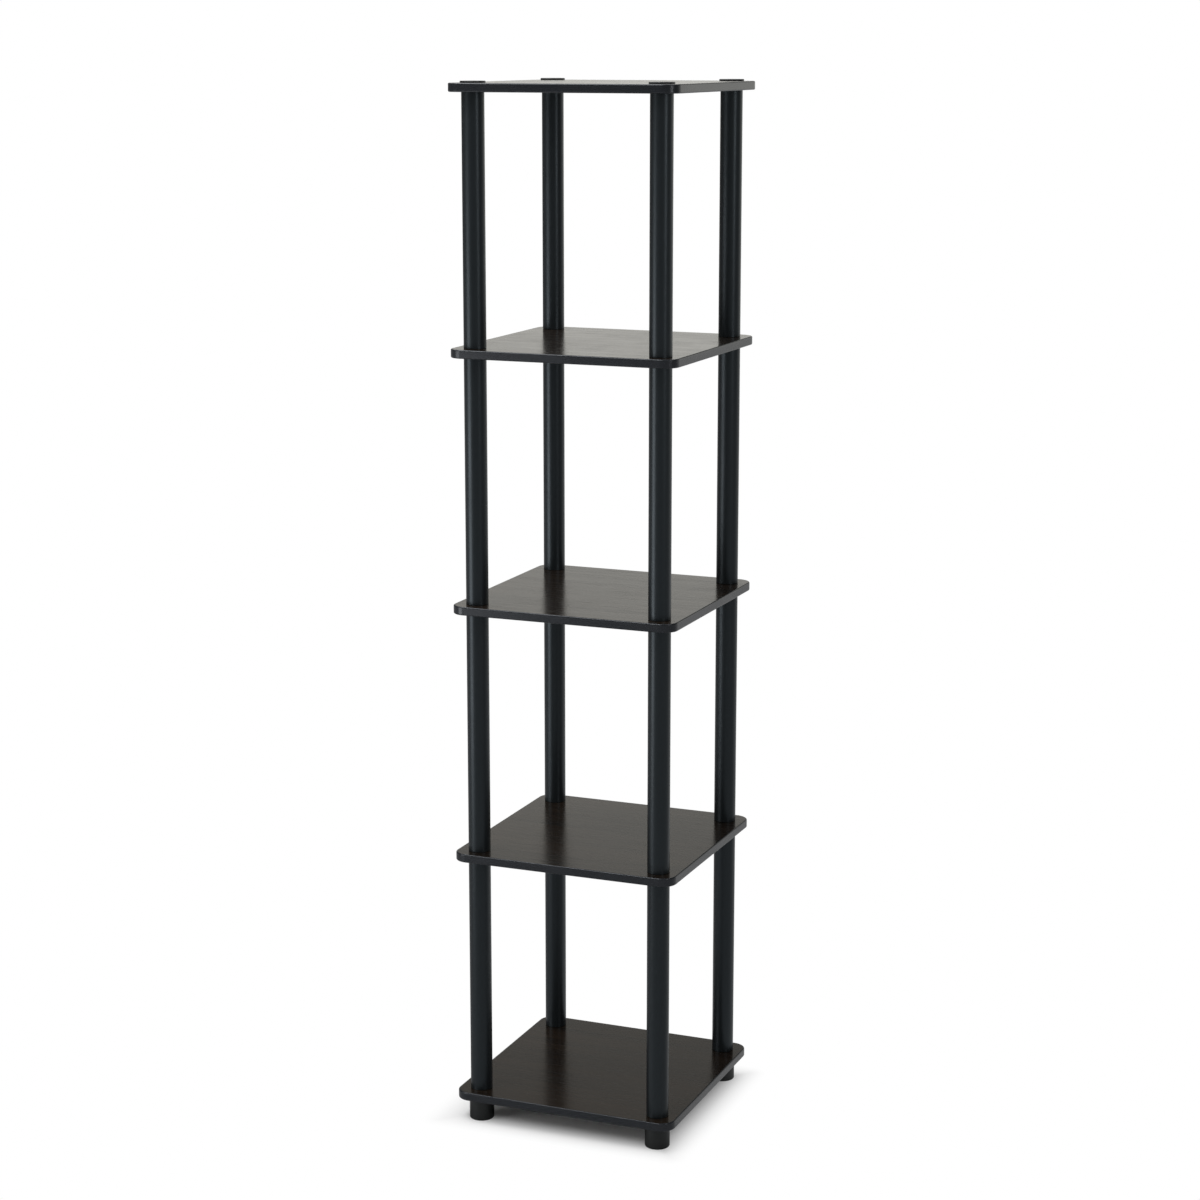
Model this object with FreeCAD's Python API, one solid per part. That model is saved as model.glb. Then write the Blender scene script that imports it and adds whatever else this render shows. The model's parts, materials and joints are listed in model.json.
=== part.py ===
import FreeCAD, Part
import math
import os

# Square tube rack. Its shelves are clamped between screwed tubes, with feet below and caps on top.
# Millimetres, +Z up, origin on the floor in the middle of the square, front face towards -Y.

# Layout: tiers count from the floor up, and there is one shelf more than there are tiers
tier_count = 4
column_signs = {
    "front_left": (-1, -1),
    "front_right": (1, -1),
    "rear_right": (1, 1),
    "rear_left": (-1, 1),
}

# Shelf boards and their edge bands
shelf_side = 330.0
shelf_thickness = 12.0
shelf_corner_radius = 21.0
edge_band_thickness = 2.0
edge_arris_radius = 1.2
shelf_hole_clearance = 0.4

# Tubes, with their axes set in from the shelf's edges
tube_inset = 30.0
tube_diameter = 31.0
tube_wall = 1.5
tube_length = 342.5
tube_lip_radius = 0.5

# Screw thread shared by the stud plugs, the caps, the socket plugs and the feet
groove_radius_share = 0.6
thread_depth = 1.2
thread_pitch = 5.0
thread_root_width = 2.4
thread_crest_width = 1.2
thread_engagement = 14.0
thread_clearance = 0.3
stud_tip_chamfer = 1.0
shank_relief = 0.5

# Plugs pressed into the tube ends
plug_fit_clearance = 0.1
plug_lead_chamfer = 1.0
stud_plug_length = 22.0
socket_spare_depth = 1.0
socket_floor = 4.0

# Feet and top caps, which stand out round the tubes
foot_overhang = 2.0
foot_height = 33.5
foot_lower_rim_radius = 2.0
foot_upper_rim_radius = 0.6
cap_overhang = 1.75
cap_thickness = 2.5
cap_rim_radius = 0.8

# Allowances of the modelling itself: how far cuts run past a face, and how far a ridge sinks into its core
cut_overrun = 1.0
ridge_sink = 0.3

# Sizes worked out from the ones above
panel_side = shelf_side - 2 * edge_band_thickness
panel_corner_radius = shelf_corner_radius - edge_band_thickness
column_offset = shelf_side / 2 - tube_inset
tier_pitch = shelf_thickness + tube_length
tube_radius = tube_diameter / 2
tube_bore_radius = tube_radius - tube_wall
plug_radius = tube_bore_radius - plug_fit_clearance
foot_radius = tube_radius + foot_overhang
cap_radius = tube_radius + cap_overhang
groove_radius = plug_radius * groove_radius_share
shank_radius = groove_radius - thread_clearance
core_radius = shank_radius - thread_depth
socket_bore_radius = core_radius + thread_clearance
socket_depth = thread_engagement + thread_pitch + socket_spare_depth
socket_plug_length = socket_depth + socket_floor

# Heights in a joint's own frame, which has its zero on the top face of the shelf that the joint clamps
shelf_underside = -shelf_thickness
stud_tip = shelf_underside - thread_engagement
thread_start = stud_tip + stud_tip_chamfer + thread_root_width / 2
thread_end = shelf_underside - thread_root_width / 2


def vector(x, y, z):
    """Point or direction from its three coordinates."""
    return FreeCAD.Vector(x, y, z)


def cylinder(radius, bottom, top):
    """Upright cylinder on the Z axis between two heights."""
    return Part.makeCylinder(radius, top - bottom, vector(0, 0, bottom))


def top_edges(shape):
    """Edges round the highest face of a shape."""
    return max(shape.Faces, key=lambda face: face.CenterOfMass.z).Edges


def bottom_edges(shape):
    """Edges round the lowest face of a shape."""
    return min(shape.Faces, key=lambda face: face.CenterOfMass.z).Edges


def upright_edges(shape):
    """Edges of a shape that run along Z."""
    boxes = [(edge, edge.BoundBox) for edge in shape.Edges]
    return [edge for edge, box in boxes if box.ZLength > box.XLength + box.YLength]


def rounded_square(side, corner_radius, bottom, top):
    """Square prism round the Z axis with its upright edges rounded."""
    prism = Part.makeBox(side, side, top - bottom, vector(-side / 2, -side / 2, bottom))
    return prism.makeFillet(corner_radius, upright_edges(prism))


def column_places():
    """Name and plan position of each of the four columns."""
    return {name: (x * column_offset, y * column_offset) for name, (x, y) in column_signs.items()}


def shelf_panel():
    """Board with a hole for each column's screw, its top face at zero."""
    panel = rounded_square(panel_side, panel_corner_radius, shelf_underside, 0)
    for x, y in column_places().values():
        hole = cylinder(shank_radius + shelf_hole_clearance, shelf_underside - cut_overrun, cut_overrun)
        panel = panel.cut(hole.translated(vector(x, y, 0)))
    return panel.Solids[0]


def shelf_edge_band():
    """Band round a board, with its outer arrises rounded."""
    outside = rounded_square(shelf_side, shelf_corner_radius, shelf_underside, 0)
    outside = outside.makeFillet(edge_arris_radius, top_edges(outside) + bottom_edges(outside))
    inside = rounded_square(panel_side, panel_corner_radius, shelf_underside - cut_overrun, cut_overrun)
    return outside.cut(inside).Solids[0]


def tube():
    """Tube that stands on zero, with its outer lips eased."""
    outside = cylinder(tube_radius, 0, tube_length)
    outside = outside.makeFillet(tube_lip_radius, top_edges(outside) + bottom_edges(outside))
    return outside.cut(cylinder(tube_bore_radius, -cut_overrun, tube_length + cut_overrun)).Solids[0]


def thread_ridge(root_radius, crest_radius, allowance, bottom, turns):
    """Right-hand ridge of a trapezium section, wound up from a height for a number of turns."""
    helix = Part.makeLongHelix(thread_pitch, thread_pitch * turns, crest_radius)
    helix.translate(vector(0, 0, bottom))
    half_root = thread_root_width / 2 + allowance
    half_crest = thread_crest_width / 2 + allowance
    section = [
        vector(root_radius, 0, bottom - half_root),
        vector(crest_radius, 0, bottom - half_crest),
        vector(crest_radius, 0, bottom + half_crest),
        vector(root_radius, 0, bottom + half_root),
    ]
    outline = Part.makePolygon(section + section[:1])
    return Part.Wire(helix).makePipeShell([outline], True, True)


def threaded_stud():
    """Screw below a shelf's top face: a plain shank in the board, then a coarse moulded thread."""
    core = cylinder(core_radius, stud_tip, 0)
    core = core.makeChamfer(stud_tip_chamfer, bottom_edges(core))
    shank = cylinder(shank_radius, shelf_underside + shank_relief, 0)
    turns = (thread_end - thread_start) / thread_pitch
    ridge = thread_ridge(core_radius - ridge_sink, shank_radius, 0, thread_start, turns)
    return core.fuse(shank).fuse(ridge)


def with_threaded_socket(body):
    """Body, topped by a shelf's underside, with a blind threaded bore a turn deeper than the stud."""
    bore = cylinder(socket_bore_radius, shelf_underside - socket_depth, shelf_underside + cut_overrun)
    groove_start = thread_start - thread_pitch
    turns = math.ceil((shelf_underside - groove_start) / thread_pitch) + 1
    groove_root = socket_bore_radius - ridge_sink
    groove = thread_ridge(groove_root, groove_radius, thread_clearance, groove_start, turns)
    return body.cut(bore).cut(groove).Solids[0]


def stud_plug():
    """Plug for a tube's lower end, standing on zero, with its screw below."""
    plug = cylinder(plug_radius, 0, stud_plug_length)
    plug = plug.makeChamfer(plug_lead_chamfer, top_edges(plug))
    return plug.fuse(threaded_stud()).Solids[0]


def socket_plug():
    """Plug for a tube's upper end, level with the underside of the shelf above."""
    plug = cylinder(plug_radius, shelf_underside - socket_plug_length, shelf_underside)
    plug = plug.makeChamfer(plug_lead_chamfer, bottom_edges(plug))
    return with_threaded_socket(plug)


def foot():
    """Round foot under the bottom shelf, with its top level with that shelf's underside."""
    body = cylinder(foot_radius, shelf_underside - foot_height, shelf_underside)
    body = body.makeFillet(foot_lower_rim_radius, bottom_edges(body))
    body = body.makeFillet(foot_upper_rim_radius, top_edges(body))
    return with_threaded_socket(body)


def top_cap():
    """Thin disc on the top shelf, with its screw below."""
    disc = cylinder(cap_radius, 0, cap_thickness)
    disc = disc.makeFillet(cap_rim_radius, top_edges(disc))
    return disc.fuse(threaded_stud()).Solids[0]


def shelf_top(level):
    """Height of the top face of the shelf on a level, counted from zero at the bottom shelf."""
    return foot_height + shelf_thickness + level * tier_pitch


def build_rack():
    """Every piece of the rack in its place, by name."""
    panel, band, one_tube = shelf_panel(), shelf_edge_band(), tube()
    stud, socket = stud_plug(), socket_plug()
    one_foot, cap = foot(), top_cap()
    places = column_places()
    pieces = {}

    for level in range(tier_count + 1):
        raised = vector(0, 0, shelf_top(level))
        pieces[f"shelf_{level + 1}_panel"] = panel.translated(raised)
        pieces[f"shelf_{level + 1}_edge_band"] = band.translated(raised)

    for level in range(tier_count):
        sockets = []
        for column, (x, y) in places.items():
            seat = vector(x, y, shelf_top(level))
            pieces[f"tube_{level + 1}_{column}"] = one_tube.translated(seat)
            pieces[f"stud_plug_{level + 1}_{column}"] = stud.translated(seat)
            sockets.append(socket.translated(vector(x, y, shelf_top(level + 1))))
        pieces[f"socket_plugs_{level + 1}"] = Part.makeCompound(sockets)

    for column, (x, y) in places.items():
        pieces[f"foot_{column}"] = one_foot.translated(vector(x, y, shelf_top(0)))
        pieces[f"cap_{column}"] = cap.translated(vector(x, y, shelf_top(tier_count)))
    return pieces


def main():
    """Write one STEP file for each piece of the rack."""
    os.makedirs("parts", exist_ok=True)
    for name, shape in build_rack().items():
        shape.exportStep(f"parts/{name}.step")


main()
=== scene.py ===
"""Dresses a square tube rack: brown shelves in black edge bands, with black tubes, caps and feet."""

import json
import logging
import math
from dataclasses import dataclass
from enum import Enum

import bmesh
import bpy
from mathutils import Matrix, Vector


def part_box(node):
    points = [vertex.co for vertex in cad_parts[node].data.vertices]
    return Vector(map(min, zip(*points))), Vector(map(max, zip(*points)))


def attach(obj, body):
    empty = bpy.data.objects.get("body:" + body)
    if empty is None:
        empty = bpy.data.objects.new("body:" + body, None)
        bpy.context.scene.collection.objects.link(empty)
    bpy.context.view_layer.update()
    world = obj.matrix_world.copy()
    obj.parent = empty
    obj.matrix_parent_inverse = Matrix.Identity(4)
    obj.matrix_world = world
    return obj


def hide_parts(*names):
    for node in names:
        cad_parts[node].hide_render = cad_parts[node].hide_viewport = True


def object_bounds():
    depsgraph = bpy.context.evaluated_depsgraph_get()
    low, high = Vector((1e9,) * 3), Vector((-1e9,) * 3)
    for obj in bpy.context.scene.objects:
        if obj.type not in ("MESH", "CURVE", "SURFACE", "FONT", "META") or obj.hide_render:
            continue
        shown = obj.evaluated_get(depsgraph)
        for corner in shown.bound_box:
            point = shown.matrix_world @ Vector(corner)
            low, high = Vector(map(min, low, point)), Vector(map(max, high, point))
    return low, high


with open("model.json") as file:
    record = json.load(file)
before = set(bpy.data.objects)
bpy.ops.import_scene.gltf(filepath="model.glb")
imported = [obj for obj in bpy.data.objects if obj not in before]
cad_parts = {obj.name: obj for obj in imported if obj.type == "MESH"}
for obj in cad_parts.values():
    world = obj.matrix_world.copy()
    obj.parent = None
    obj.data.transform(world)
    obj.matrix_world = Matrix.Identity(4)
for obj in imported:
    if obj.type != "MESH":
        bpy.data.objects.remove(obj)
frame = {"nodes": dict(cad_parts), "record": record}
CAD_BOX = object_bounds()

LOG = logging.getLogger("rack")
ONLY_BODY = "root"

# Tests and allowances of the modelling itself: a cosine, a length in metres and two angles in radians
FACING = 0.99
CUT_TOLERANCE = 1e-7
ARRIS_ANGLE = 1.0
SHARP_ANGLE = math.radians(50.0)

Colour = tuple[float, float, float]
Triple = tuple[float, float, float]
Ends = tuple[float, float]


class Slot(Enum):
    """Material slots of the record, each of which gets one finish."""

    FILM = "shelf_film"
    BAND = "edge_band"
    TUBE = "tube"
    FITTING = "fitting"
    PLUG = "plug"


class Nodes:
    """A node tree that is filled one node at a time."""

    def __init__(self, tree: bpy.types.NodeTree) -> None:
        """Empties the tree of a material, a world or a node group, to start from nothing."""
        self.tree = tree
        tree.nodes.clear()

    def feed(self, node: bpy.types.Node, socket: str | int, value: object) -> None:
        """Links a socket into a node's input, or sets the input to a plain value.

        Args:
            node: the node whose input is fed.
            socket: the input's name or number.
            value: an output socket, or the value itself.
        """
        if isinstance(value, bpy.types.NodeSocket):
            self.tree.links.new(value, node.inputs[socket])
        else:
            node.inputs[socket].default_value = value

    def add(self, kind: str, inputs: dict | None = None, **settings: object) -> bpy.types.Node:
        """Adds a node.

        Args:
            kind: Blender's name of the node's type.
            inputs: what each input is fed, by the input's name or number.
            **settings: the node's own settings, which are made before its inputs are fed.

        Returns:
            The new node.
        """
        node = self.tree.nodes.new(kind)
        for name, value in settings.items():
            setattr(node, name, value)
        for socket, value in (inputs or {}).items():
            self.feed(node, socket, value)
        return node

    def math(self, operation: str, *values: object) -> bpy.types.NodeSocket:
        """Adds one step of arithmetic on sockets or numbers, by Blender's name of the operation."""
        node = self.add("ShaderNodeMath", dict(enumerate(values)), operation=operation)
        return node.outputs["Value"]

    def vector(self, operation: str, *values: object, output: str = "Vector") -> bpy.types.NodeSocket:
        """Adds one step of arithmetic on vectors, and gives the output of that name."""
        node = self.add("ShaderNodeVectorMath", dict(enumerate(values)), operation=operation)
        return node.outputs[output]

    def axes(self, vector: bpy.types.NodeSocket) -> dict[str, bpy.types.NodeSocket]:
        """Adds the parts of a vector along X, Y and Z."""
        return dict(self.add("ShaderNodeSeparateXYZ", {"Vector": vector}).outputs.items())

    def spread(self, value: object, low: float, high: float, to_low: object, to_high: float,
               course: str = "LINEAR") -> bpy.types.NodeSocket:
        """Adds a clamped change of a value's range, from low and high to to_low and to_high."""
        ends = {"Value": value, "From Min": low, "From Max": high, "To Min": to_low, "To Max": to_high}
        return self.add("ShaderNodeMapRange", ends, interpolation_type=course).outputs["Result"]

    def ramp(self, value: object, dark: Colour, pale: Colour) -> bpy.types.NodeSocket:
        """Adds a ramp between two colours.

        Args:
            value: the place on the ramp.
            dark: the colour at zero.
            pale: the colour at one.

        Returns:
            The colour's socket.
        """
        node = self.add("ShaderNodeValToRGB", {"Fac": value})
        for element, colour in zip(node.color_ramp.elements, (dark, pale)):
            element.color = (*colour, 1.0)
        return node.outputs["Color"]

    def place(self, frequency: Triple) -> bpy.types.NodeSocket:
        """Adds the piece's own coordinates, stretched to so many features per metre of X, Y and Z."""
        own = self.add("ShaderNodeTexCoord").outputs["Object"]
        return self.add("ShaderNodeMapping", {"Vector": own, "Scale": frequency}).outputs["Vector"]

    def group(self, tree: bpy.types.NodeTree, inputs: dict) -> dict[str, bpy.types.NodeSocket]:
        """Adds a node group, feeds its inputs, and gives its output sockets by name."""
        return dict(self.add("ShaderNodeGroup", inputs, node_tree=tree).outputs.items())


@dataclass(frozen=True)
class Noise:
    """Noise of which one range of values is used, from zero or less to one.

    Attributes:
        scale: features in each unit of the coordinates.
        detail: how many finer layers it has.
        low: where the range starts.
        high: where the range ends.
        to_low: what the range's start becomes.
    """

    scale: float
    detail: float
    low: float
    high: float
    to_low: float = 0.0

    def add_to(self, nodes: Nodes, place: bpy.types.NodeSocket) -> bpy.types.NodeSocket:
        """Adds the noise.

        Args:
            nodes: the nodes that it joins.
            place: the coordinates that it follows.

        Returns:
            The value's socket.
        """
        inputs = {"Vector": place, "Scale": self.scale, "Detail": self.detail}
        noise = nodes.add("ShaderNodeTexNoise", inputs)
        return nodes.spread(noise.outputs["Fac"], self.low, self.high, self.to_low, 1.0)


class Effects:
    """Surface effects that more than one finish uses, each built once as a node group."""

    STREAK = Noise(scale=1.0, detail=6.0, low=0.3, high=0.7)
    PORE = Noise(scale=8.0, detail=2.0, low=0.54, high=0.7)
    CLOUD = Noise(scale=1.0, detail=4.0, low=0.3, high=0.7, to_low=-1.0)

    def __init__(self) -> None:
        """Builds the groups."""
        self.streaks = self._streaks()
        self.sheen = self._sheen()

    @staticmethod
    def _start(name: str, inputs: dict[str, str], outputs: list[str]) -> tuple[Nodes, dict]:
        """Starts a group with its sockets.

        Args:
            name: the group's name.
            inputs: the type of each input, by name.
            outputs: the names of its outputs, which are all plain values.

        Returns:
            The group's nodes, and its input sockets by name.
        """
        tree = bpy.data.node_groups.new(name, "ShaderNodeTree")
        for socket, kind in inputs.items():
            tree.interface.new_socket(name=socket, in_out="INPUT", socket_type=kind)
        for socket in outputs:
            tree.interface.new_socket(name=socket, in_out="OUTPUT", socket_type="NodeSocketFloat")
        nodes = Nodes(tree)
        return nodes, dict(nodes.add("NodeGroupInput").outputs.items())

    def _streaks(self) -> bpy.types.NodeTree:
        """Builds long streaks with fine pores, for coordinates that are already stretched.

        Returns:
            The group, which puts out a streak and a pore mask.
        """
        nodes, given = self._start("drawn_streaks", {"Vector": "NodeSocketVector"}, ["Streak", "Pore"])
        streak = self.STREAK.add_to(nodes, given["Vector"])
        pore = self.PORE.add_to(nodes, given["Vector"])
        nodes.add("NodeGroupOutput", {"Streak": streak, "Pore": pore})
        return nodes.tree

    def _sheen(self) -> bpy.types.NodeTree:
        """Builds the slight unevenness of a handled surface.

        Returns:
            The group, which puts out a roughness.
        """
        plain = "NodeSocketFloat"
        sockets = {"Vector": "NodeSocketVector", "Roughness": plain, "Spread": plain}
        nodes, given = self._start("handled_sheen", sockets, ["Roughness"])
        cloud = self.CLOUD.add_to(nodes, given["Vector"])
        uneven = nodes.math("MULTIPLY_ADD", cloud, given["Spread"], given["Roughness"])
        nodes.add("NodeGroupOutput", {"Roughness": uneven})
        return nodes.tree


@dataclass(frozen=True)
class Pattern:
    """Sockets of a finish's fine pattern.

    Attributes:
        tone: its place between the finish's two colours.
        height: its height.
        dullness: where it dulls the gloss.
    """

    tone: bpy.types.NodeSocket
    height: bpy.types.NodeSocket
    dullness: bpy.types.NodeSocket


@dataclass(frozen=True)
class Finish:
    """What every finish of the rack has in common.

    Attributes:
        name: the material's name.
        dark: the darker of its two colours, linear.
        pale: the paler of its two colours, linear.
        roughness: the middle of its roughness.
        grain: features per metre of its fine pattern, along X, Y and Z.
        relief: the height of that pattern, in metres.
        dulling: how much rougher the surface is where the pattern dulls it.
        unevenness: how far the roughness strays from its middle.
        clouds: features per metre of that unevenness, along X, Y and Z.
        ior: its index of refraction.
        tint: the colour of its gleam where it faces the eye.
    """

    name: str
    dark: Colour
    pale: Colour
    roughness: float
    grain: Triple
    relief: float
    dulling: float = 0.03
    unevenness: float = 0.03
    clouds: Triple = (14.0, 14.0, 14.0)
    ior: float = 1.5
    tint: Colour = (1.0, 1.0, 1.0)

    def pattern(self, nodes: Nodes, effects: Effects) -> Pattern:
        """Adds the fine pattern to a material's nodes, from the shared effects."""
        streaks = nodes.group(effects.streaks, {"Vector": nodes.place(self.grain)})
        return Pattern(tone=streaks["Streak"], height=streaks["Streak"], dullness=streaks["Pore"])

    def material(self, effects: Effects) -> bpy.types.Material:
        """Makes the material.

        Args:
            effects: the shared effects.

        Returns:
            The material.
        """
        material = bpy.data.materials.new(self.name)
        material.use_nodes = True
        nodes = Nodes(material.node_tree)
        pattern = self.pattern(nodes, effects)
        sheen = nodes.group(effects.sheen, {
            "Vector": nodes.place(self.clouds),
            "Roughness": self.roughness,
            "Spread": self.unevenness,
        })
        bump = nodes.add("ShaderNodeBump", {"Height": pattern.height, "Distance": self.relief})
        shader = nodes.add("ShaderNodeBsdfPrincipled", {
            "Base Color": nodes.ramp(pattern.tone, self.dark, self.pale),
            "Roughness": nodes.math("MULTIPLY_ADD", pattern.dullness, self.dulling, sheen["Roughness"]),
            "Normal": bump.outputs["Normal"],
            "IOR": self.ior,
            "Specular Tint": (*self.tint, 1.0),
        })
        nodes.add("ShaderNodeOutputMaterial", {"Surface": shader.outputs["BSDF"]})
        return material


@dataclass(frozen=True)
class WoodFilm(Finish):
    """Printed wood-grain film on the boards.

    Attributes:
        figure: features per metre of the broad figure of the grain, along X, Y and Z.
        figure_share: how much of the tone the broad figure gives.
        pore_share: how much of the tone a pore takes away.
        line_share: how much a pale line gleams, as a share of how much a pore is dulled.
    """

    figure: Triple = (1.2, 16.0, 5.0)
    figure_share: float = 0.4
    pore_share: float = 0.35
    line_share: float = 0.5

    def pattern(self, nodes: Nodes, effects: Effects) -> Pattern:
        """Adds a broad figure, fine lines and open pores.

        Args:
            nodes: the material's nodes.
            effects: the shared effects.

        Returns:
            The pattern's sockets.
        """
        fine = nodes.group(effects.streaks, {"Vector": nodes.place(self.grain)})
        broad = nodes.group(effects.streaks, {"Vector": nodes.place(self.figure)})
        line, pore = fine["Streak"], fine["Pore"]
        line_part = nodes.math("MULTIPLY", line, 1.0 - self.figure_share)
        tone = nodes.math("MULTIPLY_ADD", broad["Streak"], self.figure_share, line_part)
        return Pattern(
            tone=nodes.math("MULTIPLY_ADD", pore, -self.pore_share, tone),
            height=nodes.math("SUBTRACT", 1.0, pore),
            dullness=nodes.math("MULTIPLY_ADD", line, -self.line_share, pore),
        )


FINISHES: dict[Slot, Finish] = {
    Slot.FILM: WoodFilm(
        name="espresso_film",
        dark=(0.0035, 0.0025, 0.0018),
        pale=(0.024, 0.0155, 0.01),
        roughness=0.22,
        grain=(3.0, 120.0, 9.0),
        relief=0.000008,
        dulling=0.1,
        unevenness=0.012,
        tint=(1.0, 0.92, 0.85),
    ),
    Slot.BAND: Finish(
        name="black_edge_band",
        dark=(0.009, 0.0102, 0.013),
        pale=(0.012, 0.0136, 0.017),
        roughness=0.25,
        grain=(7.0, 7.0, 900.0),
        relief=0.000004,
        tint=(0.91, 0.95, 1.0),
    ),
    Slot.TUBE: Finish(
        name="black_tube",
        dark=(0.0063, 0.008, 0.0094),
        pale=(0.0081, 0.0099, 0.0115),
        roughness=0.34,
        grain=(1500.0, 1500.0, 2.0),
        relief=0.000001,
        tint=(0.78, 0.91, 1.0),
    ),
    Slot.FITTING: Finish(
        name="black_moulding",
        dark=(0.0076, 0.0085, 0.0087),
        pale=(0.01, 0.0109, 0.0111),
        roughness=0.42,
        grain=(1800.0, 1800.0, 1800.0),
        relief=0.00002,
        tint=(0.94, 0.98, 0.99),
    ),
    Slot.PLUG: Finish(
        name="black_plug",
        dark=(0.008, 0.008, 0.008),
        pale=(0.012, 0.012, 0.012),
        roughness=0.5,
        grain=(1200.0, 1200.0, 1200.0),
        relief=0.00001,
    ),
}


def round_edges(shape: bmesh.types.BMesh, edges: list[bmesh.types.BMEdge], radius: float,
                steps: int) -> None:
    """Rounds edges of a shape to a radius in metres, with so many facets each."""
    bmesh.ops.bevel(shape, geom=edges, offset=radius, segments=steps, profile=0.5, affect="EDGES",
                    material=-1)


def finish_piece(name: str, shape: bmesh.types.BMesh, material: bpy.types.Material,
                 node: str) -> bpy.types.Object:
    """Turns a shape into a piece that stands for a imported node.

    Args:
        name: the piece's name.
        shape: its shape, which is used up.
        material: its finish.
        node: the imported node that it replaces.

    Returns:
        The piece's object.
    """
    mesh = bpy.data.meshes.new(name)
    shape.to_mesh(mesh)
    shape.free()
    mesh.materials.append(material)
    mesh.shade_smooth()
    mesh.set_sharp_from_angle(angle=SHARP_ANGLE)
    piece = bpy.data.objects.new(name, mesh)
    bpy.context.scene.collection.objects.link(piece)
    piece.modifiers.new("even_shading", "WEIGHTED_NORMAL").keep_sharp = True
    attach(piece, ONLY_BODY)
    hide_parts(node)
    return piece


@dataclass(frozen=True)
class EdgeBand:
    """Plastic band glued round a board in one length, with its two ends butted at the back.

    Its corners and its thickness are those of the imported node. Its arrises are rounder.

    Attributes:
        node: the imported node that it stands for.
        corner_radius: outer radius of its corners, in metres.
        thickness: its thickness.
        arris_radius: radius of its two long outer edges.
        joint_offset: where the ends meet along the back, from the middle.
        joint_gap: gap between the ends.
        corner_steps: facets of a corner.
        arris_steps: facets of an arris.
    """

    node: str
    corner_radius: float = 0.021
    thickness: float = 0.002
    arris_radius: float = 0.0017
    joint_offset: float = 0.04
    joint_gap: float = 0.0003
    corner_steps: int = 16
    arris_steps: int = 6

    @staticmethod
    def _back(wall: bmesh.types.BMesh) -> list[bmesh.types.BMFace]:
        """Finds the faces of the wall's flat back."""
        return [face for face in wall.faces if face.normal.y > FACING]

    def _level(self, edge: bmesh.types.BMEdge) -> bool:
        """Says whether an edge runs level."""
        return abs(edge.verts[0].co.z - edge.verts[1].co.z) < self.thickness / 2

    def _outside(self, point: Vector, high: Vector) -> bool:
        """Says whether a point lies on the band's outer face.

        Args:
            point: the point.
            high: the highest corner of the band's box.

        Returns:
            Whether it is nearer the outer face than the inner one.
        """
        inset = [max(abs(side) - (high.x - self.corner_radius), 0.0) for side in point.xy]
        if min(inset) > 0.0:
            return math.hypot(*inset) > self.corner_radius - self.thickness / 2
        return max(abs(side) for side in point.xy) > high.x - self.thickness / 2

    def _wall(self, low: Vector, high: Vector) -> bmesh.types.BMesh:
        """Makes the band's outer face as a sheet, open at the joint.

        Args:
            low: the lowest corner of the band's box.
            high: the highest corner of the band's box.

        Returns:
            The sheet.
        """
        wall = bmesh.new()
        bmesh.ops.create_cube(wall, size=1.0)
        bmesh.ops.scale(wall, verts=wall.verts, vec=high - low)
        bmesh.ops.translate(wall, verts=wall.verts, vec=(low + high) / 2)
        flat = [face for face in wall.faces if abs(face.normal.z) > FACING]
        bmesh.ops.delete(wall, geom=flat, context="FACES_ONLY")
        upright = [edge for edge in wall.edges if not self._level(edge)]
        round_edges(wall, upright, self.corner_radius, self.corner_steps)
        for end in (-self.joint_gap / 2, self.joint_gap / 2):
            back = self._back(wall)
            edges = [edge for face in back for edge in face.edges]
            corners = [vert for face in back for vert in face.verts]
            near = list(dict.fromkeys([*back, *edges, *corners]))
            bmesh.ops.bisect_plane(wall, geom=near, dist=CUT_TOLERANCE, plane_no=(1.0, 0.0, 0.0),
                                   plane_co=(self.joint_offset + end, 0.0, 0.0))
        strip = min(self._back(wall), key=lambda face: face.calc_area())
        bmesh.ops.delete(wall, geom=[strip], context="FACES")
        return wall

    def build(self, material: bpy.types.Material) -> bpy.types.Object:
        """Makes the band in the place of its node.

        Args:
            material: the band's finish.

        Returns:
            The band's object.
        """
        low, high = (Vector(corner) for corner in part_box(self.node))
        band = self._wall(low, high)
        bmesh.ops.recalc_face_normals(band, faces=band.faces)
        sheet = [*band.faces, *band.edges, *band.verts]
        bmesh.ops.solidify(band, geom=sheet, thickness=self.thickness)
        outer = {vert for vert in band.verts if self._outside(vert.co, high)}
        long = [edge for edge in band.edges if outer.issuperset(edge.verts) and self._level(edge)]
        arrises = [edge for edge in long if edge.calc_face_angle(0.0) > ARRIS_ANGLE]
        round_edges(band, arrises, self.arris_radius, self.arris_steps)
        return finish_piece(f"band_{self.node}", band, material, self.node)


def dress_frame(materials: dict[Slot, bpy.types.Material]) -> None:
    """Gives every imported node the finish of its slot.

    Args:
        materials: the finish of each slot.
    """
    for part in frame["record"]["subparts"]:
        node = frame["nodes"][part["node"]]
        for slot in node.material_slots:
            slot.material = materials[Slot(part["material_slot"])]
        LOG.info("%s takes %s", part["node"], part["material_slot"])


def set_looking(thing: bpy.types.Object, place: Triple, aim: Triple) -> None:
    """Sets a lamp or a camera into the scene, looking at a point.

    Args:
        thing: the lamp's or the camera's object.
        place: where it stands, in metres.
        aim: the point that it looks at.
    """
    thing.location = place
    thing.rotation_euler = (Vector(aim) - Vector(place)).to_track_quat("-Z", "Y").to_euler()
    bpy.context.scene.collection.objects.link(thing)


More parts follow.
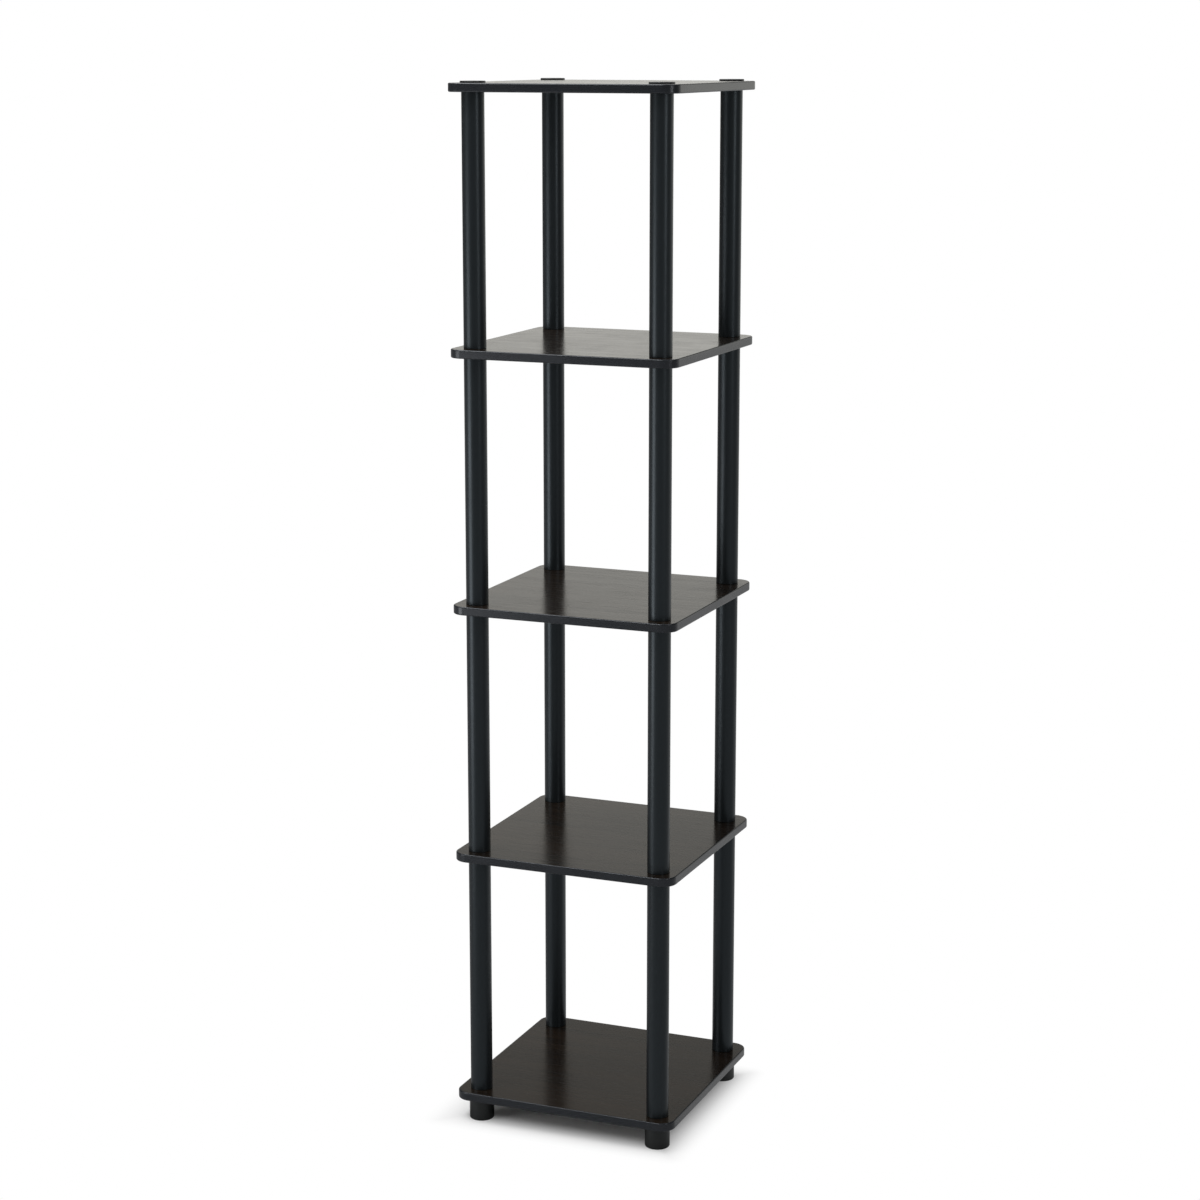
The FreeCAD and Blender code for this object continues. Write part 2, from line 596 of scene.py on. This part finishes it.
@dataclass(frozen=True)
class Softbox:
    """Rectangular lamp that looks at a point of the rack.

    Attributes:
        name: the lamp's name.
        place: where it stands, in metres.
        aim: the point that it looks at.
        width: its width.
        height: its height.
        power: its power, in watts.
    """

    name: str
    place: Triple
    aim: Triple
    width: float
    height: float
    power: float

    def build(self) -> bpy.types.Object:
        """Makes the lamp.

        Returns:
            The lamp's object.
        """
        lamp = bpy.data.lights.new(self.name, "AREA")
        lamp.shape = "RECTANGLE"
        lamp.size = self.width
        lamp.size_y = self.height
        lamp.energy = self.power
        box = bpy.data.objects.new(self.name, lamp)
        set_looking(box, self.place, self.aim)
        return box


@dataclass(frozen=True)
class Studio:
    """White floor and surroundings with soft light.

    Heights of a direction are sines of its angle above the horizon.

    Attributes:
        floor_side: side of the floor's square, in metres.
        floor_drop: how far the floor lies under the feet, so that the two faces stay apart.
        shadow_ends: distances from the rack's outline, less than zero under it, where the floor starts
        to fade and where it is the background's white. Between them the floor's real shadow gives way to
        glowing white, which paints the shadow's outer edge.
        left_reach: how much further out that outline lies on the left, so that the painted edge of the
            shadow reaches further out there.
        floor_tone: the floor's colour, which is a grey.
        painted_floor_reflection: painted brightness of the floor in reflections, in front and behind:
            the floor glows at it
        instead of being lit, and is black under the rack as painted shade.
        sweep_origin: the point of the floor from which the front and back of that painted brightness are
            told apart.
        sky_light: strength of the surroundings as a light.
        backdrop: brightness of the surroundings in reflections, level with the eye and overhead.
        backdrop_ends: heights where they start to dim and where they stay dim.
        front_share: the share of that brightness which is left in front, low down and higher up.
        front_ends: heights where that share starts to rise and where it stays.
        behind_ends: how far back a direction points, as its Y, where the back starts and is full.
        left_ends: how far left a direction points, as its X, where the back ends and is full.
        backdrop_tint: colour of the surroundings in reflections.
        lamps: the soft lamps.
    """

    floor_side: float = 24.0
    floor_drop: float = 0.0002
    # Where the floor's real shadow gives way to glowing white: the shadow's outer edge is painted.
    shadow_ends: Ends = (-0.05, 0.03)
    # Widens the outline on the left, where the painted edge of the floor's shadow lies further out.
    left_reach: float = 0.022
    floor_tone: float = 0.8
    # Painted brightness of the floor in reflections, in front and behind.
    painted_floor_reflection: Ends = (0.36, 0.61)
    sweep_origin: Triple = (0.0, -0.2, 0.0)
    sky_light: float = 0.35
    backdrop: Ends = (1.0, 0.06)
    backdrop_ends: Ends = (0.06, 0.475)
    front_share: Ends = (0.12, 0.6)
    front_ends: Ends = (0.1, 0.3)
    behind_ends: Ends = (0.4, 0.85)
    left_ends: Ends = (-0.65, -0.4)
    backdrop_tint: Colour = (1.0, 0.995, 0.94)
    lamps: tuple[Softbox, ...] = (
        Softbox(name="key_softbox", place=(-1.45, -1.55, 0.55), aim=(0.0, 0.0, 0.6),
                width=1.0, height=1.1, power=10.8),
        Softbox(name="fill_softbox", place=(2.5, -1.3, 1.65), aim=(0.0, 0.0, 1.1),
                width=0.5, height=1.3, power=7.0),
        Softbox(name="rim_softbox", place=(-0.7, -1.0, 2.8), aim=(0.0, -0.1, 0.7),
                width=1.4, height=0.7, power=24.0),
        Softbox(name="top_softbox", place=(-0.6, 0.5, 3.4), aim=(0.0, 0.0, 0.6),
                width=3.6, height=3.6, power=66.0),
    )

    @staticmethod
    def _rays(nodes: Nodes) -> tuple[bpy.types.NodeSocket, bpy.types.NodeSocket]:
        """Adds two tests of a ray of light.

        Args:
            nodes: the nodes of the floor or the surroundings.

        Returns:
            Whether the ray comes to the camera straight or through something clear, and whether it is
            a reflection.
        """
        path = nodes.add("ShaderNodeLightPath").outputs
        shown = nodes.math("MAXIMUM", path["Is Camera Ray"], path["Is Transmission Ray"])
        return shown, path["Is Glossy Ray"]

    def _behind(self, nodes: Nodes, way: bpy.types.NodeSocket) -> bpy.types.NodeSocket:
        """Adds how far a direction points behind the rack.

        Args:
            nodes: the nodes of the floor or the surroundings.
            way: the direction.

        Returns:
            The socket of a share that is zero in front and on the left, and one behind.
        """
        side = nodes.axes(way)
        back = nodes.spread(side["Y"], *self.behind_ends, 0.0, 1.0)
        return nodes.math("MULTIPLY", back, nodes.spread(side["X"], *self.left_ends, 0.0, 1.0))

    def _distance(self, nodes: Nodes, own: bpy.types.NodeSocket) -> bpy.types.NodeSocket:
        """Adds the distance of a point of the floor from the rack's outline.

        Args:
            nodes: the floor's nodes.
            own: the floor's coordinates.

        Returns:
            The distance's socket, which is less than zero under the rack.
        """
        # The outline reaches further left, so that the painted edge of the shadow lies further out
        # there.
        half = (CAD_BOX[1][0] + self.left_reach / 2, CAD_BOX[1][1], 0.0)
        middle = (-self.left_reach / 2, 0.0, 0.0)
        place = nodes.vector("ABSOLUTE", nodes.vector("SUBTRACT", own, middle))
        over = nodes.vector("SUBTRACT", place, half)
        beyond = nodes.vector("MAXIMUM", over, (0.0, 0.0, 0.0))
        outside = nodes.vector("LENGTH", beyond, output="Value")
        side = nodes.axes(over)
        inside = nodes.math("MINIMUM", nodes.math("MAXIMUM", side["X"], side["Y"]), 0.0)
        return nodes.math("ADD", outside, inside)

    def build_world(self) -> None:
        """Makes the surroundings: white to the camera, but in reflections dim overhead and in front."""
        world = bpy.data.worlds.new("white_room")
        world.use_nodes = True
        nodes = Nodes(world.node_tree)
        shown, mirrored = self._rays(nodes)
        plain = nodes.math("MULTIPLY_ADD", shown, 1.0 - self.sky_light, self.sky_light)
        way = nodes.add("ShaderNodeTexCoord").outputs["Generated"]
        height = nodes.axes(way)["Z"]
        overhead = nodes.spread(height, *self.backdrop_ends, *self.backdrop)
        front = nodes.spread(height, *self.front_ends, *self.front_share)
        around = nodes.spread(self._behind(nodes, way), 0.0, 1.0, front, 1.0)
        gleam = nodes.math("MULTIPLY", overhead, around)
        room = nodes.add("ShaderNodeBackground", {"Color": (1.0, 1.0, 1.0, 1.0), "Strength": plain})
        backdrop = nodes.add("ShaderNodeBackground", {
            "Color": (*self.backdrop_tint, 1.0),
            "Strength": gleam,
        })
        blend = nodes.add("ShaderNodeMixShader", {
            "Fac": mirrored,
            1: room.outputs["Background"],
            2: backdrop.outputs["Background"],
        })
        nodes.add("ShaderNodeOutputWorld", {"Surface": blend.outputs["Shader"]})
        bpy.context.scene.world = world

    def floor_material(self) -> bpy.types.Material:
        """Makes the floor's finish: matt white near the rack, where it takes its real shadow, fading by
        distance into glowing white, which paints the shadow's outer edge. In reflections it glows at a
        painted brightness, black under the rack as painted shade.

        Returns:
            The material.
        """
        material = bpy.data.materials.new("studio_floor")
        material.use_nodes = True
        nodes = Nodes(material.node_tree)
        shown, mirrored = self._rays(nodes)
        own = nodes.add("ShaderNodeTexCoord").outputs["Object"]
        way = nodes.vector("NORMALIZE", nodes.vector("SUBTRACT", own, self.sweep_origin))
        # Painted shadow edge: by distance from the outline the floor turns from its real shade to
        # glowing white.
        fade = nodes.spread(self._distance(nodes, own), *self.shadow_ends, 0.0, 1.0, course="SMOOTHSTEP")
        around = nodes.spread(self._behind(nodes, way), 0.0, 1.0, *self.painted_floor_reflection)
        # Painted reflection: the floor glows in reflections, dimmer in front, and is black under the
        # rack as painted shade.
        painted_floor_reflection = nodes.math("MULTIPLY", around, fade)
        near = nodes.add("ShaderNodeBsdfDiffuse", {"Color": (*[self.floor_tone] * 3, 1.0)})
        far = nodes.add("ShaderNodeEmission", {"Strength": nodes.math("MAXIMUM", shown, painted_floor_reflection)})
        blend = nodes.add("ShaderNodeMixShader", {
            "Fac": nodes.math("MAXIMUM", nodes.math("MULTIPLY", fade, shown), mirrored),
            1: near.outputs["BSDF"],
            2: far.outputs["Emission"],
        })
        nodes.add("ShaderNodeOutputMaterial", {"Surface": blend.outputs["Shader"]})
        return material

    def build_floor(self) -> bpy.types.Object:
        """Makes the floor.

        Returns:
            The floor's object.
        """
        sheet = bmesh.new()
        bmesh.ops.create_grid(sheet, x_segments=1, y_segments=1, size=self.floor_side / 2)
        bmesh.ops.translate(sheet, verts=sheet.verts, vec=(0.0, 0.0, -self.floor_drop))
        mesh = bpy.data.meshes.new("studio_floor")
        sheet.to_mesh(mesh)
        sheet.free()
        mesh.materials.append(self.floor_material())
        floor = bpy.data.objects.new("studio_floor", mesh)
        bpy.context.scene.collection.objects.link(floor)
        return floor

    def build(self) -> None:
        """Makes the surroundings, the floor and the lamps."""
        self.build_world()
        LOG.info("stage: %s", self.build_floor().name)
        for lamp in self.lamps:
            LOG.info("lamp: %s", lamp.build().name)


@dataclass(frozen=True)
class PhotoCamera:
    """Camera at the photograph's viewing angle.

    Attributes:
        place: where it stands, in metres.
        aim: the point on its axis.
        focal_length: the lens, in millimetres on the sensor below.
        sensor: the sensor's side, in millimetres.
        shift_down: how far the frame slides down, as a share of its side.
    """

    place: Triple = (1.392, -3.416, 1.52)
    aim: Triple = (-0.007, 0.0, 0.778)
    focal_length: float = 80.1
    sensor: float = 36.0
    shift_down: float = 0.02

    def build(self) -> bpy.types.Object:
        """Makes the camera and gives it to the scene.

        Returns:
            The camera's object.
        """
        lens = bpy.data.cameras.new("photo_camera")
        lens.lens = self.focal_length
        lens.sensor_width = self.sensor
        lens.shift_y = -self.shift_down
        camera = bpy.data.objects.new("photo_camera", lens)
        set_looking(camera, self.place, self.aim)
        bpy.context.scene.camera = camera
        return camera


def main() -> None:
    """Builds the finishes, the pieces, the stage and the camera in order."""
    logging.basicConfig(level=logging.INFO, format="%(name)s: %(message)s")
    bpy.context.scene.view_settings.view_transform = "Standard"
    effects = Effects()
    materials = {slot: finish.material(effects) for slot, finish in FINISHES.items()}
    dress_frame(materials)
    for part in frame["record"]["subparts"]:
        if part["material_slot"] == Slot.BAND.value:
            LOG.info("piece: %s", EdgeBand(part["node"]).build(materials[Slot.BAND]).name)
    Studio().build()
    LOG.info("camera: %s", PhotoCamera().build().name)


if __name__ == "__main__":
    main()
